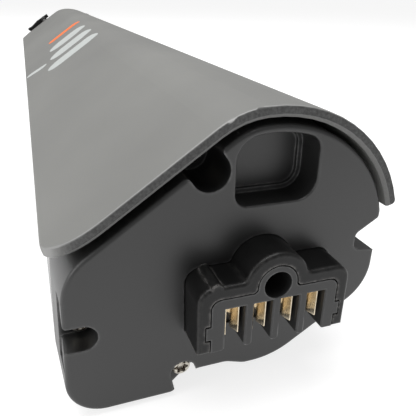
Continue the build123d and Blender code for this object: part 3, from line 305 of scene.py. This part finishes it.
def cell_sleeve():
    """Shrink sleeve on the round cells, with bare metal ends."""
    finish = Finish("cell_can", {"IOR": 1.5})
    wrinkles = finish.noise(1.2 * MM, 3.0, 0.6, (1, 0.15, 1))
    normal = finish.read("ShaderNodeNewGeometry", {}, {}, "Normal")
    facing = finish.read("ShaderNodeSeparateXYZ", {}, {"Vector": normal}, "Y")
    bare = facing.math("ABSOLUTE", facing).above(0.6, 0.8)
    sleeve = finish.mix(wrinkles.above(0.3, 0.7), shade(0.03, 0.16, 0.12), shade(0.04, 0.21, 0.16))
    finish.set("Base Color", finish.mix(bare, sleeve, grey(0.6)))
    finish.set("Metallic", bare)
    finish.set("Roughness", 0.3 + wrinkles * 0.2)
    finish.relief(wrinkles, 0.01 * MM)
    return finish


def ink(name, low, high):
    finish = Finish(name, {"IOR": 1.48})
    film = finish.noise(0.5 * MM, 3.0, 0.6)
    patch = finish.noise(12 * MM, 2.0)
    finish.set("Base Color", finish.mix((film * 0.5 + patch * 0.5).above(0.3, 0.7), low, high))
    finish.set("Roughness", 0.38 + film * 0.12)
    finish.relief(film, 0.01 * MM)
    return finish


GOLD_LOW = shade(0.6, 0.5, 0.36)
GOLD_HIGH = shade(0.92, 0.82, 0.64)
NICKEL_LOW = shade(0.5, 0.47, 0.41)
NICKEL_HIGH = shade(0.74, 0.7, 0.62)

finishes = {
    "cover_paint": painted_cover(),
    "cap_black": moulded(
        "cap_black", grey(0.008), grey(0.013), 0.4, 0.28, 0.016, 0.42, 0.5, 1.6, 1.4
    ),
    "case_black": moulded("case_black", grey(0.006), grey(0.01), 0.26, 0.5, 0.02, 0.15, 0.4, 1.55),
    "hood_black": scuffed_hood(),
    "insert_grey": moulded(
        "insert_grey", grey(0.012), grey(0.019), 0.42, 0.2, 0.012, 0.55, 0.3, 1.5, 0.8
    ),
    "contact_gold": metal("contact_gold", GOLD_LOW, GOLD_HIGH, 0.2, (1, 1, 0.1)),
    "rubber_black": rubber("rubber_black", grey(0.01), grey(0.02)),
    "screw_nickel": metal(
        "screw_nickel", NICKEL_LOW, NICKEL_HIGH, 0.3, (1, 0.2, 1), 0.2, shade(0.07, 0.035, 0.02)
    ),
    "lever_black": moulded(
        "lever_black", grey(0.004), grey(0.008), 0.62, 0.3, 0.03, 0.08, 0.5, 1.32
    ),
    "steel": metal("steel", grey(0.45), grey(0.62), 0.26, (1, 0.1, 1)),
    "light_guide": light_pipe(),
    "foam": foam("foam"),
    "board_green": circuit_board(),
    "component_black": moulded("component_black", grey(0.012), grey(0.02), 0.5, 0.12, 0.01, 0.1, 0.2),
    "fuse_orange": moulded(
        "fuse_orange", shade(0.6, 0.13, 0.01), shade(0.75, 0.2, 0.02), 0.25, 0.4, 0.01, 0.1, 0.3
    ),
    "aluminium": metal("aluminium", grey(0.5), grey(0.66), 0.3, (0.1, 1, 1)),
    "holder_plastic": moulded("holder_plastic", grey(0.02), grey(0.035), 0.5, 0.4, 0.02, 0.1, 0.3),
    "brass_post": metal("brass_post", shade(0.55, 0.37, 0.13), shade(0.72, 0.52, 0.22), 0.25),
    "nickel": metal("nickel", NICKEL_LOW, NICKEL_HIGH, 0.25, (0.1, 1, 1)),
    "cell_can": cell_sleeve(),
    "lead_red": rubber("lead_red", shade(0.3, 0.012, 0.01), shade(0.4, 0.02, 0.015)),
    "lead_black": rubber("lead_black", grey(0.012), grey(0.024)),
}
WHITE_INK = ink("ink_white", shade(0.4, 0.42, 0.41), shade(0.45, 0.47, 0.46))
ORANGE_INK = ink("ink_orange", shade(0.74, 0.13, 0.02), shade(0.8, 0.17, 0.03))

for part in frame["record"]["subparts"]:
    materials = nodes[part["node"]].data.materials
    materials.clear()
    materials.append(finishes[part["material_slot"]].material)


# ---------------------------------------------------------------- mesh building
def piece(name, mesh, body, material):
    made = bpy.data.objects.new(name, mesh)
    bpy.context.scene.collection.objects.link(made)
    made.data.materials.append(material)
    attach(made, body)
    return made


def skin(name, rings, smooth=True):
    """Mesh through rings of equally many points, closed at both ends."""
    form = bmesh.new()
    rows = [[form.verts.new(point) for point in ring] for ring in rings]
    count = len(rows[0])
    for low, high in zip(rows, rows[1:]):
        for step in range(count):
            after = (step + 1) % count
            form.faces.new((low[step], low[after], high[after], high[step]))
    form.faces.new(rows[0][::-1])
    form.faces.new(rows[-1])
    bmesh.ops.recalc_face_normals(form, faces=form.faces)
    for face in form.faces:
        face.smooth = smooth and len(face.verts) == 4
    mesh = bpy.data.meshes.new(name)
    form.to_mesh(mesh)
    form.free()
    return mesh


def loose_solids(node):
    """Corners of the box round each separate solid of a node."""
    form = bmesh.new()
    form.from_mesh(nodes[node].data)
    bmesh.ops.remove_doubles(form, verts=form.verts, dist=0.005 * MM)
    left = set(form.verts)
    boxes = []
    while left:
        island = [left.pop()]
        for vert in island:
            for edge in vert.link_edges:
                other = edge.other_vert(vert)
                if other in left:
                    left.remove(other)
                    island.append(other)
        points = [vert.co for vert in island]
        low = Vector([min(point[axis] for point in points) for axis in range(3)])
        high = Vector([max(point[axis] for point in points) for axis in range(3)])
        boxes.append((low, high))
    form.free()
    return sorted(boxes, key=lambda box: (round(box[0].x, 5), round(box[0].z, 5)))


# ---------------------------------------------------------------- screws
HEAD_HEIGHT = 2.0 * MM
THREAD_PITCH = 0.5 * MM
THREAD_DEPTH = 0.28 * MM
RECESS_R = 1.55 * MM
RECESS_DEPTH = 1.15 * MM
RECESS_LOBES = 6
LOBE_SHARE = 0.17
SCREW_STEPS = 36
SHANK_R = 1.49 * MM


def screw_rings(low, high, into):
    """Rings of a pan-head screw from its tip to the floor of its six-lobed recess."""
    centre_x = (low.x + high.x) / 2
    centre_z = (low.z + high.z) / 2
    head_r = (high.x - low.x) / 2
    top = low.y if into > 0 else high.y
    length = high.y - low.y

    def ring(depth, radius):
        points = []
        for step in range(SCREW_STEPS):
            angle = 2 * math.pi * step / SCREW_STEPS
            reach = radius(angle) if callable(radius) else radius
            points.append(Vector((
                centre_x + reach * math.cos(angle),
                top + into * depth,
                centre_z + reach * math.sin(angle),
            )))
        return points

    def thread(depth):
        def radius(angle):
            turn = (depth / THREAD_PITCH + angle / (2 * math.pi)) % 1.0
            return SHANK_R - THREAD_DEPTH * (1 - abs(2 * turn - 1))
        return radius

    def lobes(radius):
        return lambda angle: radius * (1 + LOBE_SHARE * math.cos(RECESS_LOBES * angle))

    rings = [ring(length, 0.9 * MM), ring(length - 0.5 * MM, SHANK_R - THREAD_DEPTH)]
    turns = int((length - HEAD_HEIGHT - 1 * MM) / (THREAD_PITCH / 4))
    for count in range(turns):
        depth = length - 0.6 * MM - count * THREAD_PITCH / 4
        rings.append(ring(depth, thread(depth)))
    rings += [
        ring(HEAD_HEIGHT, SHANK_R),
        ring(HEAD_HEIGHT, head_r - 0.15 * MM),
        ring(HEAD_HEIGHT - 0.15 * MM, head_r),
        ring(0.95 * MM, head_r),
        ring(0.45 * MM, head_r - 0.18 * MM),
        ring(0.15 * MM, head_r - 0.6 * MM),
        ring(0.02 * MM, head_r - 1.1 * MM),
        ring(0, lobes(RECESS_R + 0.12 * MM)),
        ring(0.12 * MM, lobes(RECESS_R)),
        ring(RECESS_DEPTH, lobes(RECESS_R - 0.08 * MM)),
        ring(RECESS_DEPTH + 0.2 * MM, 0.7 * MM),
        ring(RECESS_DEPTH + 0.35 * MM, 0.1 * MM),
    ]
    return rings


def cap_screws(node, into):
    for count, (low, high) in enumerate(loose_solids(node)):
        name = f"{node}_{count + 1}"
        mesh = skin(name, screw_rings(low, high, into))
        piece(name, mesh, "pack", finishes["screw_nickel"].material)
    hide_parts(node)


cap_screws("front_cap_screws", 1)
cap_screws("rear_cap_screws", -1)
cap_screws("connector_screws", -1)


# ---------------------------------------------------------------- springs
WIRE_STEPS = 10
STEPS_PER_TURN = 28
SPRING_WIRE = 0.5 * MM


def coil(name, node, wire, turns, end_turns, slot):
    """Helical spring in the room of a plain sleeve, its end turns wound close."""
    low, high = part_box(node)
    centre = (low + high) / 2
    coil_r = (high.x - low.x) / 2 - wire / 2
    rise = high.y - low.y - wire
    start = end_turns / turns
    along = Vector((0, 1, 0))
    steps = int(turns * STEPS_PER_TURN)
    rings = []
    for step in range(steps + 1):
        share = step / steps
        angle = 2 * math.pi * turns * share
        climb = min(max((share - start) / (1 - 2 * start), 0), 1)
        margin = wire * (min(share, start) + max(share - (1 - start), 0)) / start / 2
        radial = Vector((math.cos(angle), 0, math.sin(angle)))
        middle = Vector((centre.x, low.y + wire / 2 + climb * (rise - wire) + margin, centre.z))
        middle += radial * coil_r
        rings.append([
            middle + wire / 2 * (radial * math.cos(turn) + along * math.sin(turn))
            for turn in [2 * math.pi * part / WIRE_STEPS for part in range(WIRE_STEPS)]
        ])
    made = piece(name, skin(name, rings), "pack", finishes[slot].material)
    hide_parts(node)


coil("lever_coil", "lever_spring", SPRING_WIRE, 3.5, 0.5, "steel")
coil("button_coil", "button_spring", SPRING_WIRE, 3.2, 0.6, "steel")

# ---------------------------------------------------------------- print on the flank
FLANK_ANGLE = math.radians(35)
FLANK_NORMAL = Vector((-math.sin(FLANK_ANGLE), 0, math.cos(FLANK_ANGLE)))
FLANK_UP = Vector((math.cos(FLANK_ANGLE), 0, math.sin(FLANK_ANGLE)))
CROWN_CENTRE = Vector((2 * MM, 0, 2 * MM))
RAY_START = 80 * MM
INK_FILM = 0.04 * MM
PRINT_STEPS = 40
ACROSS = [-1, -0.5, 0, 0.5, 1]
TIP_HALF = 0.02 * MM

cover = nodes["outer_cover"].data
cover_tree = BVHTree.FromPolygons(
    [vert.co for vert in cover.vertices], [tuple(face.vertices) for face in cover.polygons]
)


def on_cover(along, up, lift):
    """Point of the cover at this place along the pack and up its flank."""
    start = CROWN_CENTRE + Vector((0, along, 0)) + FLANK_UP * up + FLANK_NORMAL * RAY_START
    hit = cover_tree.ray_cast(start, -FLANK_NORMAL)[0]
    return hit + FLANK_NORMAL * lift


def printed_bar(name, ends, width, material):
    """Round-ended bar of ink that lies on the cover, from one end to the other."""
    (along_a, up_a), (along_b, up_b) = ends
    length = math.hypot(along_b - along_a, up_b - up_a)
    side = ((up_b - up_a) / length, -(along_b - along_a) / length)
    rings = []
    for step in range(PRINT_STEPS + 1):
        share = (1 - math.cos(math.pi * step / PRINT_STEPS)) / 2
        reach = min(share, 1 - share) * length
        half = width / 2
        if reach < half:
            half = math.sqrt(max(half**2 - (half - reach) ** 2, TIP_HALF**2))
        along = along_a + (along_b - along_a) * share
        up = up_a + (up_b - up_a) * share
        places = [(along + side[0] * half * k, up + side[1] * half * k) for k in ACROSS]
        top = [on_cover(*place, INK_FILM) for place in places]
        bottom = [on_cover(*place, -INK_FILM) for place in reversed(places)]
        rings.append(top + bottom)
    piece(name, skin(name, rings, smooth=False), "pack", material)


# each bar: its place along the pack, its lower and upper ends on the flank, and its width
ORANGE_BAR = (331 * MM, -17 * MM, 14 * MM, 13 * MM)
WHITE_BARS = [
    (288 * MM, -19 * MM, 13 * MM, 24 * MM),
    (252 * MM, -21 * MM, 13 * MM, 22 * MM),
    (220 * MM, -25 * MM, 13 * MM, 19 * MM),
]
LINE_ENDS = [(254 * MM, -40.5 * MM), (245 * MM, -25 * MM)]
LINE_WIDTH = 8 * MM

along, low_up, high_up, width = ORANGE_BAR
printed_bar("print_orange", [(along, low_up), (along, high_up)], width, ORANGE_INK.material)
for count, (along, low_up, high_up, width) in enumerate(WHITE_BARS):
    ends = [(along, low_up), (along, high_up)]
    printed_bar(f"print_white_{count + 1}", ends, width, WHITE_INK.material)
printed_bar("print_line", LINE_ENDS, LINE_WIDTH, WHITE_INK.material)

# ---------------------------------------------------------------- floor, light and camera
FLOOR_SIZE = 30.0
FLOOR_GLOW = 0.78
SKY_GLOW = 0.35
CAMERA_PLACE = (-50.6 * MM, -96.7 * MM, 64.7 * MM)
LENS = 41.54

floor_form = bmesh.new()
bmesh.ops.create_grid(floor_form, x_segments=2, y_segments=2, size=FLOOR_SIZE)
floor_mesh = bpy.data.meshes.new("floor")
floor_form.to_mesh(floor_mesh)
floor_form.free()
floor = bpy.data.objects.new("floor", floor_mesh)
floor.location = (0, 0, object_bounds()[0].z)
bpy.context.scene.collection.objects.link(floor)
pale = Finish("pale_floor", {"Roughness": 0.9, "Emission Strength": FLOOR_GLOW})
paper = pale.noise(0.4, 2.0)
pale.set("Base Color", pale.mix(paper, grey(0.34), grey(0.37)))
pale.shader.inputs["Emission Color"].default_value = grey(1.0)
floor.data.materials.append(pale.material)

world = bpy.data.worlds.new("studio")
bpy.context.scene.world = world
world.use_nodes = True
sky = world.node_tree.nodes["Background"]
sky.inputs["Color"].default_value = grey(1.0)
sky.inputs["Strength"].default_value = SKY_GLOW
bpy.context.scene.view_settings.view_transform = "Standard"


def soft_box(name, place, target, size, power):
    lamp = bpy.data.lights.new(name, "AREA")
    lamp.shape = "RECTANGLE"
    lamp.size, lamp.size_y = size
    lamp.energy = power
    holder = bpy.data.objects.new(name, lamp)
    holder.location = place
    direction = Vector(target) - Vector(place)
    holder.rotation_mode = "QUATERNION"
    holder.rotation_quaternion = direction.to_track_quat("-Z", "Y")
    bpy.context.scene.collection.objects.link(holder)


soft_box("key_light", (-0.1, 0.3, 1.2), (0, 0.25, 0), (1.2, 1.2), 23.0)
soft_box("side_light", (-1.0, -0.1, 0.35), (0, 0.1, 0), (0.5, 0.5), 3.0)

lens = bpy.data.cameras.new("camera")
lens.sensor_width = 36.0
lens.lens = LENS
lens.clip_start = 0.01
camera = bpy.data.objects.new("camera", lens)
look = Vector((0.3151, 0.8550, -0.4119)).normalized()
right = Vector((0.9413, -0.3369, 0.0209))
right = (right - look * right.dot(look)).normalized()
up = right.cross(look)
camera.matrix_world = Matrix.Translation(CAMERA_PLACE) @ Matrix((
    (right.x, up.x, -look.x, 0), (right.y, up.y, -look.y, 0), (right.z, up.z, -look.z, 0),
    (0, 0, 0, 1),
))
bpy.context.scene.collection.objects.link(camera)
bpy.context.scene.camera = camera
